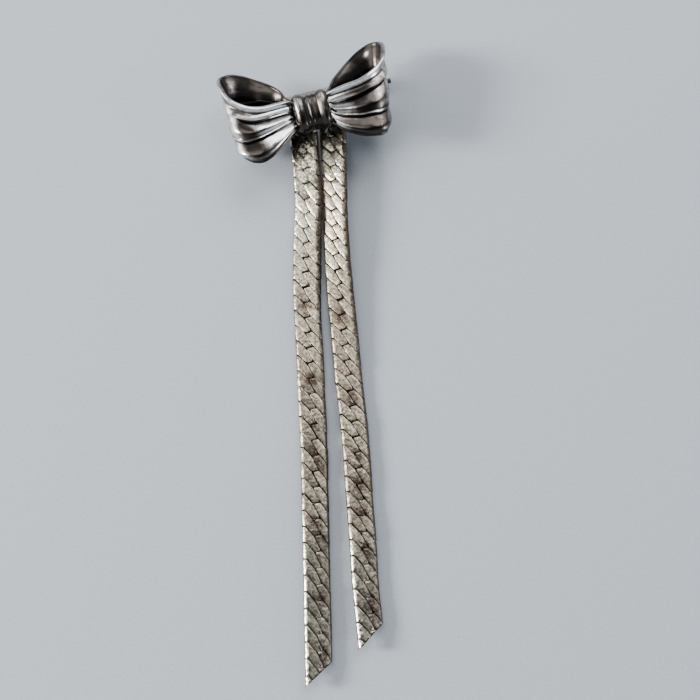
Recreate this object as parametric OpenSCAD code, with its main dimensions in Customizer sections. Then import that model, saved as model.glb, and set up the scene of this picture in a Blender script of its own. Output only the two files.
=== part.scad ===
// Bow brooch: two pleated ribbon loops held by a fluted knot, two flat curb
// chains hanging from the knot as the ribbon's tails, and a pin finding behind.
// It lies on its back, +Z up, with the tails toward -Y. All sizes are in mm.

/* [Bow] */
// Reach of a loop from the middle of the knot to its outer turn
loop_reach = 13.3; // [11:0.1:15.5]
// Scale height of the ribbon, which its sections are shares of
ribbon_h = 12; // [10:0.1:14]
// Depth of a loop from its back sheet to its front sheet
loop_depth = 6.3; // [5.4:0.1:7.5]
// Thickness of the silver sheet
sheet_t = 0.55; // [0.4:0.05:0.7]
// Height of the lip that each pleat is pressed up to
pleat_h = 0.65; // [0.3:0.05:0.8]
// Turn of the bow over the line of the tails
bow_turn = 15; // [5:1:25]
// Lean of the bow down toward the tails
bow_lean = 10; // [4:1:14]
// Flare of the left loop: how its reach grows with height, per scale height
left_flare = 0.035; // [0:0.005:0.1]
// Flare of the right loop
right_flare = 0.18; // [0.1:0.01:0.2]

/* [Knot] */
// Width of the knot along the bow
knot_w = 5.4; // [4.8:0.1:6]
// Height of the knot across the bow
knot_h = 5.3; // [5.2:0.1:7]
// Depth of the knot from back to front
knot_d = 4.6; // [4.4:0.1:5.6]
// Thickness of the knot's band
knot_wall = 0.7; // [0.5:0.05:0.9]
// Height of the flutes raised on the band
flute_h = 0.5; // [0.2:0.05:0.7]

/* [Chain tails] */
// Width of a chain
chain_w = 4.2; // [3.6:0.1:4.4]
// Pitch from one link to the next
link_pitch = 2.35; // [2.1:0.05:2.6]
// Thickness of the flattened wire
wire_t = 0.45; // [0.35:0.05:0.55]
// Clearance between a link and its neighbours
link_gap = 0.2; // [0.15:0.01:0.3]
// Length of the left tail
tail_left = 84.7; // [60:1:90]
// Length of the right tail
tail_right = 80; // [55:1:84]
// Angle of the slanting cut at a tail's end
cut_angle = 41; // [20:1:48]

/* [Pin] */
// Height of the pin's feet, which carry the bow
foot_h = 2; // [1.8:0.1:2.6]
// Side of a foot
foot_side = 2.4; // [1.8:0.1:3]
// Distance between the middles of the two feet
foot_span = 18; // [14:0.5:19]
// Distance of the pin above the bow's middle line
pin_rise = 4.4; // [3:0.1:5]
// Thickness of the bar that is soldered to the loops
bar_t = 0.6; // [0.4:0.1:0.9]
// Width of that bar
bar_w = 1.6; // [1.2:0.1:2.2]
// Diameter of the pin stem
stem_d = 0.8; // [0.6:0.05:1]
// Length of the pin stem past the middle of the catch
stem_end = 4.4; // [3:0.1:5]

/* [Hidden] */
silver = [0.56, 0.56, 0.58];
chain_silver = [0.62, 0.60, 0.57];
solder_gap = 0.35;
// Place of the knot's middle along the bow, from where the two ribbons meet
knot_side = -0.33;
// Reach of each ribbon where it comes out of the knot, just clear of the band's side
pinch_gap = 0.12;
left_pinch = (knot_w / 2 - knot_side + pinch_gap) / loop_reach;
right_pinch = (knot_w / 2 + knot_side + pinch_gap) / loop_reach;
// Further reach of the sheet behind that place, and of the first full pleat
pinch_step = 0.005;
fan_step = 0.05;

// Sections of the ribbon from inside the knot, out along the front sheet, round
// the outer turn and back behind. Columns: reach, depth from the back sheet,
// lower edge, upper edge, lower valley, upper valley, pleat height. The valleys
// are shares of the section's own height, the rest are shares of named sizes.
// The reach holds at the bow's middle line, and the loop's flare widens it above.
LEFT_SECTIONS = [
    [0.060, 0.79, -0.12, 0.12, 0.30, 0.63, 0.10],
    [left_pinch, 0.78, -0.125, 0.125, 0.30, 0.63, 0.15],
    [0.295, 0.84, -0.235, 0.200, 0.32, 0.63, 0.70],
    [0.400, 0.90, -0.325, 0.190, 0.38, 0.685, 1.00],
    [0.560, 0.97, -0.45, 0.180, 0.41, 0.735, 1.00],
    [0.700, 0.99, -0.51, 0.215, 0.385, 0.725, 1.00],
    [0.815, 0.94, -0.49, 0.305, 0.31, 0.71, 1.00],
    [0.897, 0.82, -0.42, 0.425, 0.26, 0.69, 0.90],
    [0.945, 0.64, -0.34, 0.59, 0.22, 0.64, 0.70],
    [0.960, 0.44, -0.29, 0.69, 0.20, 0.62, 0.60],
    [0.940, 0.24, -0.26, 0.765, 0.22, 0.60, 0.50],
    [0.887, 0.08, -0.25, 0.80, 0.25, 0.60, 0.40],
    [0.795, 0.01, -0.25, 0.81, 0.30, 0.60, 0.40],
    [0.670, 0.00, -0.25, 0.76, 0.30, 0.62, 0.40],
    [0.530, 0.03, -0.24, 0.66, 0.33, 0.66, 0.40],
    [0.390, 0.13, -0.22, 0.54, 0.33, 0.66, 0.35],
    [0.295, 0.28, -0.18, 0.40, 0.33, 0.66, 0.20],
    [left_pinch + pinch_step, 0.43, -0.10, 0.105, 0.33, 0.66, 0.10],
    [0.060, 0.46, -0.09, 0.095, 0.33, 0.66, 0.10],
];
RIGHT_SECTIONS = [
    [0.060, 0.79, -0.12, 0.12, 0.30, 0.63, 0.10],
    [right_pinch, 0.78, -0.125, 0.125, 0.30, 0.63, 0.15],
    [right_pinch + fan_step, 0.825, -0.295, 0.195, 0.33, 0.67, 0.60],
    [0.310, 0.86, -0.37, 0.205, 0.34, 0.69, 0.90],
    [0.405, 0.905, -0.435, 0.215, 0.34, 0.705, 1.00],
    [0.540, 0.97, -0.50, 0.225, 0.335, 0.735, 1.00],
    [0.660, 0.99, -0.525, 0.27, 0.325, 0.745, 1.00],
    [0.760, 0.94, -0.53, 0.345, 0.295, 0.725, 1.00],
    [0.828, 0.82, -0.49, 0.46, 0.265, 0.70, 0.90],
    [0.862, 0.64, -0.41, 0.59, 0.24, 0.66, 0.70],
    [0.872, 0.44, -0.36, 0.67, 0.22, 0.63, 0.60],
    [0.857, 0.24, -0.32, 0.73, 0.22, 0.60, 0.50],
    [0.803, 0.08, -0.30, 0.765, 0.25, 0.60, 0.40],
    [0.725, 0.01, -0.29, 0.765, 0.30, 0.60, 0.40],
    [0.612, 0.00, -0.28, 0.71, 0.30, 0.62, 0.40],
    [0.485, 0.03, -0.26, 0.605, 0.33, 0.66, 0.40],
    [0.370, 0.13, -0.22, 0.49, 0.33, 0.66, 0.35],
    [0.275, 0.28, -0.18, 0.37, 0.33, 0.66, 0.20],
    [right_pinch + pinch_step, 0.43, -0.10, 0.105, 0.33, 0.66, 0.10],
    [0.060, 0.46, -0.09, 0.095, 0.33, 0.66, 0.10],
];
// One pleat from its lower valley up: place between the valleys, rise of the sheet
PLEAT = [[0, 0], [0.07, 0.85], [0.19, 1], [0.36, 0.70], [0.60, 0.30], [0.84, 0.04]];
// Rise of the rolled rim along the top edge, as a share of the pleat's height
rim_rise = 0.5;
// Depth share at which the knot's middle lies between the two sheets
mid_share = 0.63;

// Flutes of the knot from its left side to its right: place across, rise
FLUTES = [[-1, -0.5], [-0.92, 0.1], [-0.64, 0.9], [-0.34, 0.5], [-0.12, -0.4],
          [0.14, -0.5], [0.36, 0], [0.56, 0.9], [0.80, 0.5], [0.93, -0.1], [1, -0.6]];
// Share of the flutes left at the back, and how far round the front they stand full
flute_back = 0.15;
flute_front = 0.7;
knot_turns = 22;
knot_square = 0.62;

// Stations of half a link from its left side round its lower end to its right
// side. Columns: place across the chain, place along it, level, width. Shares of
// half the chain's width, the pitch, the links' rise and an arm's width.
LINK_HALF = [
    [-0.745, 0.110, -0.4, 0.79],
    [-0.610, -0.265, 1, 1],
    [-0.250, -0.690, 1, 1],
    [-0.050, -0.800, 0, 0.67],
    [0.235, -0.670, -1, 0.66],
    [0.570, -0.315, -1, 0.76],
];
// Six corners of the flattened wire: share of its width, share of its thickness
WIRE = [[-1, 0], [-0.72, 1], [0.72, 1], [1, 0], [0.72, -1], [-0.72, -1]];

// Routes of the two tails under and below the knot. Columns: across, along,
// height above lying flat, roll. Lengths in mm from the knot's middle, in degrees.
LEFT_ROUTE = [
    [-1.8, -0.6, 1.8, -4], [-1.6, -4, 1.4, -8], [-1.2, -8, 0.9, -11], [-0.95, -13, 0.4, -12],
    [-1.1, -20, 0.1, -11], [-1, -28, 0, -8], [-0.5, -36, 0, -3], [-0.1, -44, 0, 3],
    [0.3, -51.5, 0, 8], [0.5, -59, 0, 12], [0.7, -66, 0, 15], [0.9, -73, 0, 18],
    [1.1, -80, 0, 20], [1.3, -88, 0, 21],
];
RIGHT_ROUTE = [
    [2.7, -0.2, 1.3, -8], [3, -4, 1, -18], [3.15, -9, 0.6, -27], [3.3, -15, 0.3, -28],
    [3.65, -22, 0.1, -22], [4.2, -28.5, 0, -14], [4.8, -34.5, 0, -7], [5.4, -41, 0, -1],
    [6.1, -47, 0, 4], [6.6, -53, 0, 8], [7, -59, 0, 12], [7.45, -65, 0, 15],
    [7.8, -71, 0, 18], [8.3, -76, 0, 19], [9.1, -84, 0, 20],
];
route_steps = 12;
tip_tuck = 0.1;
tip_slab_step = 0.05;
tip_share = 0.45;
// Solder that holds a top link: side of its block, place on the link's raised arm
solder_w = 0.7;
SOLDER_AT = [0.43, 0.478];

// Vectors and small helpers
function unit(v) = v / norm(v);
function mix(a, b, f) = a + (b - a) * f;
function flat(lists) = [for (l = lists) for (e = l) e];
function column(rows, k) = [for (r = rows) r[k]];
function spline(a, b, c, d, f) =
    0.5 * ((2 * b) + (c - a) * f + (2 * a - 5 * b + 4 * c - d) * f * f
           + (3 * b - a - 3 * c + d) * f * f * f);

// Places in the bow's own frame: along the bow, across it, out of its front
bow_along = [cos(bow_turn), sin(bow_turn), 0];
bow_across = [-sin(bow_turn) * cos(bow_lean), cos(bow_turn) * cos(bow_lean), sin(bow_lean)];
bow_out = cross(bow_along, bow_across);
back_drop = mid_share * loop_depth + solder_gap + bar_t;
bow_lift = foot_h + back_drop * cos(bow_lean) - pin_rise * sin(bow_lean)
           + bar_w / 2 * sin(bow_lean);
function bow_place(p) = [0, 0, bow_lift] + p[0] * bow_along + p[1] * bow_across + p[2] * bow_out;

// Ribbon loops
function pleat_rows(section) =
    let (stops = [0, section[4], section[5], 1])
    concat(
        [for (k = [0:2]) for (s = PLEAT)
            [mix(stops[k], stops[k + 1], s[0]), s[1] * section[6] * pleat_h]],
        [[1, rim_rise * section[6] * pleat_h]]
    );
function station(sections, i) =
    [sections[i][0] * loop_reach, (sections[i][1] - mid_share) * loop_depth];
function station_normal(sections, i) =
    let (
        last = len(sections) - 1,
        d = unit(station(sections, min(i + 1, last)) - station(sections, max(i - 1, 0)))
    ) [-d[1], d[0]];
function ribbon_row(sections, side, flare, i, inset) =
    let (
        s = sections[i],
        at = station(sections, i),
        n = station_normal(sections, i)
    )
    [for (r = pleat_rows(s))
        let (q = at + n * (r[1] - inset), h = mix(s[2], s[3], r[0]))
        bow_place([side * q[0] * (1 + flare * h), h * ribbon_h, q[1]])];
function ribbon_points(sections, side, flare) =
    let (outer = [for (i = [0:len(sections) - 1]) ribbon_row(sections, side, flare, i, 0)],
         inner = [for (i = [0:len(sections) - 1]) ribbon_row(sections, side, flare, i, sheet_t)])
    concat(flat(outer), flat(inner));
function quad(a, b, c, d, flip) = flip ? [[a, c, b], [a, d, c]] : [[a, b, c], [a, c, d]];
function ribbon_faces(rows, cols, flip) =
    let (m = rows * cols)
    flat(concat(
        [for (i = [0:rows - 2]) for (j = [0:cols - 2])
            let (a = i * cols + j) quad(a, a + 1, a + cols + 1, a + cols, flip)],
        [for (i = [0:rows - 2]) for (j = [0:cols - 2])
            let (a = m + i * cols + j) quad(a, a + cols, a + cols + 1, a + 1, flip)],
        [for (i = [0:rows - 2])
            let (a = i * cols) quad(a, a + cols, a + cols + m, a + m, flip)],
        [for (i = [0:rows - 2])
            let (a = i * cols + cols - 1) quad(a, a + m, a + cols + m, a + cols, flip)],
        [for (j = [0:cols - 2]) quad(j, j + m, j + 1 + m, j + 1, flip)],
        [for (j = [0:cols - 2])
            let (a = (rows - 1) * cols + j) quad(a, a + 1, a + 1 + m, a + m, flip)]
    ));
left_points = ribbon_points(LEFT_SECTIONS, -1, left_flare);
right_points = ribbon_points(RIGHT_SECTIONS, 1, right_flare);
pleat_cols = 3 * len(PLEAT) + 1;

// Knot: a closed band round the pinched middle of the ribbon
function squared(angle, half_h, half_d) =
    let (c = cos(angle), s = sin(angle),
         r = pow(pow(abs(c), 2 / knot_square) + pow(abs(s), 2 / knot_square), -knot_square / 2))
    [half_h * r * c, half_d * r * s];
// The flutes stand on the front and fade toward the back
function fluting(angle) = mix(flute_back, 1, max(0, min(1, flute_front + sin(angle))));
function knot_profile() = concat(
    [for (f = FLUTES) [f[0] * knot_w / 2, f[1] * flute_h]],
    [[knot_w / 2, -knot_wall], [-knot_w / 2, -knot_wall]]
);
function knot_points() =
    [for (k = [0:knot_turns - 1])
        let (angle = 360 * k / knot_turns, at = squared(angle, knot_h / 2, knot_d / 2),
             out = unit([cos(angle) * knot_d, sin(angle) * knot_h]))
        for (p = knot_profile())
            let (rise = p[1] * (p[1] < -flute_h ? 1 : fluting(angle)))
            bow_place([knot_side + p[0], at[0] + out[0] * rise, at[1] + out[1] * rise])];
function ring_faces(rings, cols, flip) =
    flat([for (i = [0:rings - 1]) for (j = [0:cols - 1])
        let (i2 = (i + 1) % rings, j2 = (j + 1) % cols)
        quad(i * cols + j, i2 * cols + j, i2 * cols + j2, i * cols + j2, flip)]);

// One link of the flat curb chain, lying in its own plane
arm_run = [(LINK_HALF[2][0] - LINK_HALF[1][0]) * chain_w / 2,
           (LINK_HALF[1][1] - LINK_HALF[2][1]) * link_pitch];
arm_w = link_pitch * arm_run[0] / norm(arm_run) - link_gap;
link_rise = (wire_t + link_gap) / 2;
chain_t = 2 * link_rise + wire_t;
link_ring = flat([for (turn = [1, -1]) [for (s = LINK_HALF)
    [turn * s[0] * chain_w / 2, turn * s[1] * link_pitch, s[2] * link_rise, s[3] * arm_w]]]);
function plan(p) = [p[0], p[1]];
function link_section(i) =
    let (
        n = len(link_ring),
        at = link_ring[i],
        before = unit(plan(at) - plan(link_ring[(i + n - 1) % n])),
        after = unit(plan(link_ring[(i + 1) % n]) - plan(at)),
        d = unit(before + after)
    )
    [for (c = WIRE) [at[0] + d[1] * c[0] * at[3] / 2, at[1] - d[0] * c[0] * at[3] / 2,
                     at[2] + c[1] * wire_t / 2]];
link_points = flat([for (i = [0:len(link_ring) - 1]) link_section(i)]);
link_faces = ring_faces(len(link_ring), len(WIRE), false);

// Height of the chain's middle when its links and its tip lie on the surface with a roll
tip_level = chain_t / 2 - tip_slab_step;
function lying(roll) = max(
    chain_w / 2 * abs(sin(roll)) + tip_level * cos(roll),
    max([for (p = link_points) p[0] * sin(roll) - p[2] * cos(roll)])
);

// A tail's route: fine points along a curve through its rows, with their lengths
function route_point(rows, i, f) =
    let (n = len(rows) - 1)
    spline(rows[max(i - 1, 0)], rows[i], rows[i + 1], rows[min(i + 2, n)], f);
function settled(r) = [r[0], r[1], lying(r[3]) + r[2], r[3]];
function route_line(rows) = concat(
    [for (i = [0:len(rows) - 2]) for (k = [0:route_steps - 1])
        settled(route_point(rows, i, k / route_steps))],
    [settled(rows[len(rows) - 1])]
);
function xyz(p) = [p[0], p[1], p[2]];
function lengths(line) =
    [for (i = 0, s = 0; i < len(line);
          s = s + (i + 1 < len(line) ? norm(xyz(line[i + 1]) - xyz(line[i])) : 0), i = i + 1) s];
function find(marks, s, i = 0) =
    (i + 2 >= len(marks) || marks[i + 1] > s) ? i : find(marks, s, i + 1);
function at_length(line, marks, s) =
    let (i = find(marks, s))
    mix(line[i], line[i + 1], (s - marks[i]) / (marks[i + 1] - marks[i]));
// Frame of a place on the tail: middle, across, up the tail, out of its face
function tail_frame(line, marks, s) =
    let (
        h = link_pitch / 2,
        p = at_length(line, marks, s),
        up = unit(xyz(at_length(line, marks, max(s - h, 0))) - xyz(at_length(line, marks, s + h))),
        level = unit(cross(up, [0, 0, 1])),
        out = cross(level, up)
    )
    [xyz(p), level * cos(p[3]) - out * sin(p[3]), up, out * cos(p[3]) + level * sin(p[3])];
function in_frame(f, p) = f[0] + p[0] * f[1] + p[1] * f[2] + p[2] * f[3];
function frame_matrix(f) = [for (k = [0:2]) [f[1][k], f[2][k], f[3][k], f[0][k]]];

left_line = route_line(LEFT_ROUTE);
left_marks = lengths(left_line);
right_line = route_line(RIGHT_ROUTE);
right_marks = lengths(right_line);

// The tip is a last link soldered into a plate that ends in the slanting cut
tip_least = tip_share * link_pitch;
cut_drop = chain_w * tan(cut_angle);
left_links = floor((tail_left - tip_least - cut_drop) / link_pitch);
right_links = floor((tail_right - tip_least - cut_drop) / link_pitch);
left_short = tail_left - left_links * link_pitch - cut_drop;
right_short = tail_right - right_links * link_pitch - cut_drop;
left_frames = [for (i = [0:left_links]) tail_frame(left_line, left_marks, i * link_pitch)];
right_frames = [for (i = [0:right_links]) tail_frame(right_line, right_marks, i * link_pitch)];

// Plate of the tip: four corners, the lower edge slanting from left to right
function tip_corners(short, level) = [
    [-chain_w / 2, -tip_tuck, level], [-chain_w / 2, -short - cut_drop, level],
    [chain_w / 2, -short, level], [chain_w / 2, -tip_tuck, level]
];
function tip_plate(short) = concat(tip_corners(short, tip_level), tip_corners(short, -tip_level));
PLATE_FACES = [[0, 2, 1], [0, 3, 2], [4, 5, 6], [4, 6, 7], [0, 1, 5], [0, 5, 4],
               [1, 2, 6], [1, 6, 5], [2, 3, 7], [2, 7, 6], [3, 0, 4], [3, 4, 7]];

// Pin: level along the bow, behind both loops
pin_foot_x = foot_span / 2;
bar_seat = 0.2;
pin_y = pin_rise * cos(bow_lean);
stem_z = foot_h / 2;
stem_reach = pin_foot_x + stem_end;

// The middle of the whole brooch in plan, which the model's origin lies under
left_tip = [for (p = tip_plate(left_short)) in_frame(left_frames[left_links], p)];
right_tip = [for (p = tip_plate(right_short)) in_frame(right_frames[right_links], p)];
stem_tip = [stem_reach * cos(bow_turn) - pin_y * sin(bow_turn), 0, 0];
reach_points = concat(left_points, right_points, left_tip, right_tip);
low_x = min(column(reach_points, 0));
high_x = max(max(column(reach_points, 0)), stem_tip[0]);
low_y = min(column(reach_points, 1));
high_y = max(column(reach_points, 1));
shift = [-(low_x + high_x) / 2, -(low_y + high_y) / 2, 0];

module loose_links(frames, count) {
    size = len(link_points);
    points = flat([for (i = [1:count - 1]) [for (p = link_points) in_frame(frames[i], p)]]);
    faces = flat([for (i = [0:count - 2]) [for (f = link_faces)
        [f[0] + i * size, f[1] + i * size, f[2] + i * size]]]);
    translate(shift) polyhedron(points, faces);
}

module end_link(f) {
    polyhedron([for (p = link_points) in_frame(f, p)], link_faces);
}

module bow_loop_left() {
    color(silver) translate(shift)
        polyhedron(left_points, ribbon_faces(len(LEFT_SECTIONS), pleat_cols, true));
}

module bow_loop_right() {
    color(silver) translate(shift)
        polyhedron(right_points, ribbon_faces(len(RIGHT_SECTIONS), pleat_cols, false));
}

// Block of solder from a raised arm of a chain's top link up to the knot's back
module solder_block(f, turn) {
    rise = bow_lift - knot_d / 2 + knot_wall / 2 - f[0][2];
    multmatrix(frame_matrix(f))
        translate([turn * SOLDER_AT[0] * chain_w / 2 - solder_w / 2,
                   turn * SOLDER_AT[1] * link_pitch - solder_w / 2, link_rise])
            cube([solder_w, solder_w, rise - link_rise]);
}

module knot() {
    color(silver) translate(shift) union() {
        polyhedron(knot_points(), ring_faces(knot_turns, len(FLUTES) + 2, true));
        end_link(left_frames[0]);
        solder_block(left_frames[0], 1);
        end_link(right_frames[0]);
        solder_block(right_frames[0], -1);
    }
}

module tail_chain_left() {
    color(chain_silver) loose_links(left_frames, left_links);
}

module tail_chain_right() {
    color(chain_silver) loose_links(right_frames, right_links);
}

module tail_tip(f, plate) {
    color(chain_silver) translate(shift) union() {
        end_link(f);
        polyhedron(plate, PLATE_FACES);
    }
}

module tail_tip_left() {
    tail_tip(left_frames[left_links], left_tip);
}

module tail_tip_right() {
    tail_tip(right_frames[right_links], right_tip);
}

module pin_back() {
    color(silver) translate(shift) rotate([0, 0, bow_turn]) union() {
        translate([0, pin_y, foot_h]) rotate([bow_lean, 0, 0])
            translate([-pin_foot_x, -bar_w / 2, -bar_seat])
                cube([foot_span, bar_w, bar_t + bar_seat]);
        for (side = [-1, 1])
            translate([side * pin_foot_x - foot_side / 2, pin_y - foot_side / 2, 0])
                cube([foot_side, foot_side, foot_h]);
        translate([-pin_foot_x, pin_y, stem_z]) rotate([0, 90, 0])
            cylinder(h = pin_foot_x + stem_reach, d = stem_d, $fn = 32);
    }
}

bow_loop_left();
bow_loop_right();
knot();
tail_chain_left();
tail_chain_right();
tail_tip_left();
tail_tip_right();
pin_back();
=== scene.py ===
import math
import bpy
import bmesh
from mathutils import Matrix, Vector, noise


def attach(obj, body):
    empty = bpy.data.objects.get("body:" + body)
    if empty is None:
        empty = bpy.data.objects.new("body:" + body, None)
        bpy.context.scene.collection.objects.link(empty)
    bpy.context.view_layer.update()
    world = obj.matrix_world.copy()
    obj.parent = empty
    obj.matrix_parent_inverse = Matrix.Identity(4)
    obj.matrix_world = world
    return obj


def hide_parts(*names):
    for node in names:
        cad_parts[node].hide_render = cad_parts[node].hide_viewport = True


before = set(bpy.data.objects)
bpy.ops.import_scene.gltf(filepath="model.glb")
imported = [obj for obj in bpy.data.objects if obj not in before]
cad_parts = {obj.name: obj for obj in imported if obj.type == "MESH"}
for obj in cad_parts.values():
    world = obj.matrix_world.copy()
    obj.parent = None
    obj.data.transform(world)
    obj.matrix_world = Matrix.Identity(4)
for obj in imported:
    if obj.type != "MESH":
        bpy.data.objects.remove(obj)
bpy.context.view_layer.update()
print("frame loaded")

# Shapes are worked out in millimetres and scaled to metres once, when a piece is finished
mm = 0.001

# The knot's middle, and how the bow is turned over the tails and leans down toward them
brooch = {
    "knotPlace": Vector((1.566, 36.349, 6.219)),
    "turn": math.radians(15),
    "lean": math.radians(10),
}
along = Vector((math.cos(brooch["turn"]), math.sin(brooch["turn"]), 0))
across = Vector((-math.sin(brooch["turn"]) * math.cos(brooch["lean"]),
                 math.cos(brooch["turn"]) * math.cos(brooch["lean"]), math.sin(brooch["lean"])))
outward = along.cross(across)


def bowPoint(reach, height, depth):
    return brooch["knotPlace"] + along * reach + across * height + outward * depth


# A smooth curve through the rows of a table, read at a place counted in rows
def splineAt(rows, place):
    last = len(rows) - 1
    k = min(int(place), last - 1)
    f = place - k
    four = (rows[max(k - 1, 0)], rows[k], rows[k + 1], rows[min(k + 2, last)])
    return [0.5 * (2 * b + (c - a) * f + (2 * a - 5 * b + 4 * c - d) * f * f
                   + (3 * b - a - 3 * c + d) * f ** 3) for a, b, c, d in zip(*four)]


def evenly(count, low=0.0, high=1.0):
    return [low + (high - low) * i / (count - 1) for i in range(count)]


def mixed(a, b, share):
    return a + (b - a) * share


# 0 at the start of a span and 1 from its end on
def ramp(value, span):
    return max(0, min(1, (value - span[0]) / (span[1] - span[0])))


# Rings of points become a skin: a circle of vertices is extruded from ring to ring
def sweepRings(bm, rings, closed):
    row = bmesh.ops.create_circle(bm, segments=len(rings[0]), radius=1)["verts"]
    rows = [row]
    for point, vert in zip(rings[0], row):
        vert.co = point
    for ring in rings[1:]:
        edges = [bm.edges.get((row[i - 1], row[i])) for i in range(len(row))]
        made = bmesh.ops.extrude_edge_only(bm, edges=edges)["geom"]
        fresh = set(v for v in made if isinstance(v, bmesh.types.BMVert))
        row = [next(e.other_vert(v) for e in v.link_edges if e.other_vert(v) in fresh) for v in row]
        for point, vert in zip(ring, row):
            vert.co = point
        rows.append(row)
    ends = [[bm.edges.get((r[i - 1], r[i])) for i in range(len(r))] for r in (rows[0], rows[-1])]
    if closed:
        bmesh.ops.bridge_loops(bm, edges=ends[0] + ends[1])
    else:
        for end in ends:
            bmesh.ops.triangulate(bm, faces=bmesh.ops.contextual_create(bm, geom=end)["faces"])
    return rows


def finishPiece(bm, name, materials, node, sharpAngle=40):
    bmesh.ops.recalc_face_normals(bm, faces=bm.faces)
    bmesh.ops.scale(bm, vec=(mm, mm, mm), verts=bm.verts)
    mesh = bpy.data.meshes.new(name)
    bm.to_mesh(mesh)
    bm.free()
    mesh.polygons.foreach_set("use_smooth", [True] * len(mesh.polygons))
    mesh.set_sharp_from_angle(angle=math.radians(sharpAngle))
    for material in materials:
        mesh.materials.append(material)
    piece = bpy.data.objects.new(name, mesh)
    bpy.context.scene.collection.objects.link(piece)
    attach(piece, "root")
    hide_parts(node)
    print(name, "made,", len(mesh.polygons), "faces")
    return piece


# sRGB hex to the linear values that the shaders take
def hexColour(code):
    parts = [int(code[i:i + 2], 16) / 255 for i in (1, 3, 5)]
    return [p / 12.92 if p <= 0.04045 else ((p + 0.055) / 1.055) ** 2.4 for p in parts] + [1]


def addNode(tree, kind, inputs, **settings):
    node = tree.nodes.new(kind)
    for name, value in settings.items():
        setattr(node, name, value)
    for key, value in inputs.items():
        if isinstance(value, bpy.types.NodeSocket):
            tree.links.new(value, node.inputs[key])
        else:
            node.inputs[key].default_value = value
    return node


# Noise runs in metres, so a grain of so many millimetres is this many per metre
def perGrain(size):
    return 1 / (size * mm)


# Every finish starts the same way, and its patterns lie on the object's own coordinates
def startFinish(name, metallic):
    material = bpy.data.materials.new(name)
    material.use_nodes = True
    tree = material.node_tree
    shader = tree.nodes["Principled BSDF"]
    shader.inputs["Metallic"].default_value = metallic
    place = addNode(tree, "ShaderNodeTexCoord", {}).outputs["Object"]
    return material, tree, shader, place


# Sterling silver, cast and polished, then dipped to blacken it and buffed: bright on the
# raised lips, brown-black in the folds and inside, with fine rubbing marks, and painted
# shade deep in the loops and painted dark reflections carried on the same tarnish
bowFinish = {
    "bright": "#E1E0DE",
    "haze": "#8E8884",
    "oxide": "#3F3B38",
    "sootAndShade": "#0D0B0A",
    "hazeSpan": (0.42, 0.85),
    "oxideSpan": (0.75, 1.2),
    "sootSpan": (1.65, 2.3),
    "roughBright": 0.12,
    "roughOxide": 0.24,
    "cloudSize": 1.1,
    "cloudShare": 0.9,
    "rubSize": 0.2,
    "rubDepth": 0.01,
    "waveSize": 1.8,
    "waveDepth": 0.05,
}


def blackenedSilver():
    m = bowFinish
    material, tree, shader, place = startFinish("blackened_sterling_silver", 1)
    tarnishAndShade = addNode(tree, "ShaderNodeAttribute", {}, attribute_name="tarnishAndShade").outputs["Fac"]
    cloud = addNode(tree, "ShaderNodeTexNoise", {"Vector": place,
                    "Scale": perGrain(m["cloudSize"]), "Detail": 5, "Roughness": 0.6})
    rub = addNode(tree, "ShaderNodeTexNoise",
                  {"Vector": place, "Scale": perGrain(m["rubSize"]), "Detail": 3})
    wave = addNode(tree, "ShaderNodeTexNoise",
                   {"Vector": place, "Scale": perGrain(m["waveSize"]), "Detail": 1})
    clouded = addNode(tree, "ShaderNodeMath", {0: cloud.outputs["Fac"], 1: m["cloudShare"],
                      2: tarnishAndShade}, operation="MULTIPLY_ADD")
    # Tarnish and painted shade build up in three steps: haze, brown-black oxide, then soot in the
    # deepest folds and shade
    hazed, dark, deep = (addNode(tree, "ShaderNodeMapRange", {
        "Value": clouded.outputs[0], "From Min": m[span][0], "From Max": m[span][1]})
        for span in ("hazeSpan", "oxideSpan", "sootSpan"))
    tint = addNode(tree, "ShaderNodeMix", {0: hazed.outputs["Result"],
                   6: hexColour(m["bright"]), 7: hexColour(m["haze"])}, data_type="RGBA")
    black = addNode(tree, "ShaderNodeMix", {0: deep.outputs["Result"],
                    6: hexColour(m["oxide"]), 7: hexColour(m["sootAndShade"])}, data_type="RGBA")
    colour = addNode(tree, "ShaderNodeMix", {0: dark.outputs["Result"],
                     6: tint.outputs[2], 7: black.outputs[2]}, data_type="RGBA")
    rough = addNode(tree, "ShaderNodeMapRange", {"Value": hazed.outputs["Result"],
                    "To Min": m["roughBright"], "To Max": m["roughOxide"]})
    waved = addNode(tree, "ShaderNodeBump", {"Height": wave.outputs["Fac"], "Strength": 1,
                    "Distance": m["waveDepth"] * mm})
    bump = addNode(tree, "ShaderNodeBump", {"Height": rub.outputs["Fac"], "Strength": 0.5,
                   "Distance": m["rubDepth"] * mm, "Normal": waved.outputs["Normal"]})
    tree.links.new(colour.outputs[2], shader.inputs["Base Color"])
    tree.links.new(rough.outputs["Result"], shader.inputs["Roughness"])
    tree.links.new(bump.outputs["Normal"], shader.inputs["Normal"])
    return material


# Sterling silver chain, rolled flat and left satin: warm grey from wear, with brown
# tarnish in patches, dark grime in the seams between links, and painted shade in the seams,
# along the right sides and under the knot
chainFinish = {
    "satin": "#E3DCCC",
    "worn": "#8E8573",
    "filmLight": "#A79F8E",
    "filmDark": "#6C6255",
    "tarnishAndShade": "#3F302A",
    "grimeAndShade": "#4A3F35",
    "rough": 0.22,
    "roughFilm": 0.42,
    "mottleSize": 0.42,
    "mottleSpan": (0.42, 0.57),
    "stainSpan": (0.15, 0.95),
    "stainMost": 0.85,
    "scuffSize": 0.2,
    "scuffDepth": 0.035,
    "dentSize": 0.8,
    "dentDepth": 0.1,
}


# What each point of a chain carries: grime and painted shade in the seams and on the right side,
# brown stain and painted shadow, and the dull film of wear, which also dims the shaded right side
wearLayers = ("grimeAndShade", "stainAndShade", "filmAndShade")


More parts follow.
